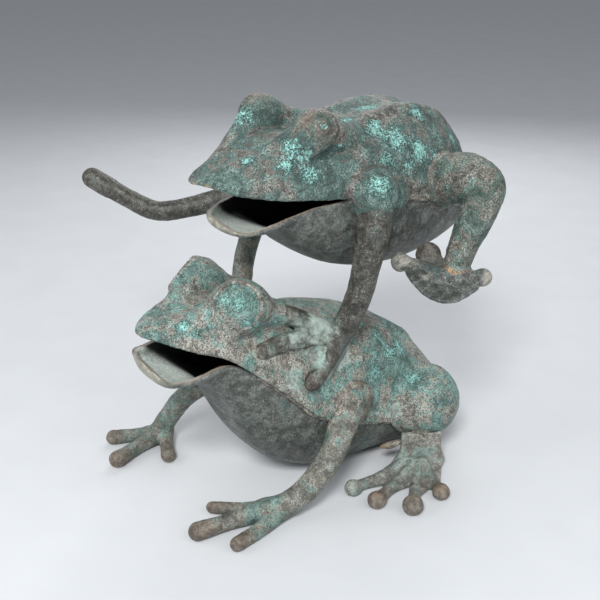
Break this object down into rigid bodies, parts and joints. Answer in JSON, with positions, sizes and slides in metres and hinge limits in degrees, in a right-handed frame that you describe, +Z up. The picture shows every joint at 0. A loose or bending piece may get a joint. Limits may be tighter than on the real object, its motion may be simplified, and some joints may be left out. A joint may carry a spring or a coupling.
{
  "type": "leapfrog frog figurine",
  "caption": "Free-standing cast-brass figurine of one open-mouthed frog vaulting over another, hollow bodies with brazed limbs and a green patina.",
  "frame": {"origin": "bottom centre of the figure's bounding box, on the surface it stands on", "axes": "+Z up; both frogs look along -Y; +X is the frogs' left"},
  "size_m": [0.216, 0.216, 0.202],
  "materials": {
    "rough_back": "sand-cast skin with brown-grey and verdigris patina",
    "smooth_pan": "smoother, brushed, dark brown-grey patina with faint green",
    "limb_casting": "brown-grey patina with green in the hollows and worn brass edges",
    "foot_casting": "pale green patina with brown ball toes",
    "braze_metal": "lumpy brazing metal, partly bare",
    "pale_bed": "smooth pale mint patinated filler"
  },
  "bodies": {
    "root": {"lower_back_shell": "rough_back", "lower_belly_pan": "smooth_pan", "lower_left_ankle_braze": "braze_metal", "lower_left_ankle_lug": "braze_metal", "lower_left_arm": "limb_casting", "lower_left_arm_braze": "braze_metal", "lower_left_foot": "foot_casting", "lower_left_seam": "braze_metal", "lower_right_ankle_braze": "braze_metal", "lower_right_arm": "limb_casting", "lower_right_arm_braze": "braze_metal", "lower_right_foot": "foot_casting", "lower_right_seam": "braze_metal", "upper_back_shell": "rough_back", "upper_belly_pan": "smooth_pan", "upper_left_ankle_braze": "braze_metal", "upper_left_arm": "limb_casting", "upper_left_arm_braze": "braze_metal", "upper_left_foot": "foot_casting", "upper_left_hand_bed": "pale_bed", "upper_left_leg": "limb_casting", "upper_left_leg_braze": "braze_metal", "upper_left_seam": "braze_metal", "upper_right_ankle_stub": "limb_casting", "upper_right_arm": "limb_casting", "upper_right_arm_braze": "braze_metal", "upper_right_hand_bed": "pale_bed", "upper_right_leg": "limb_casting", "upper_right_leg_braze": "braze_metal", "upper_right_seam": "braze_metal"}
  },
  "joints": []
}
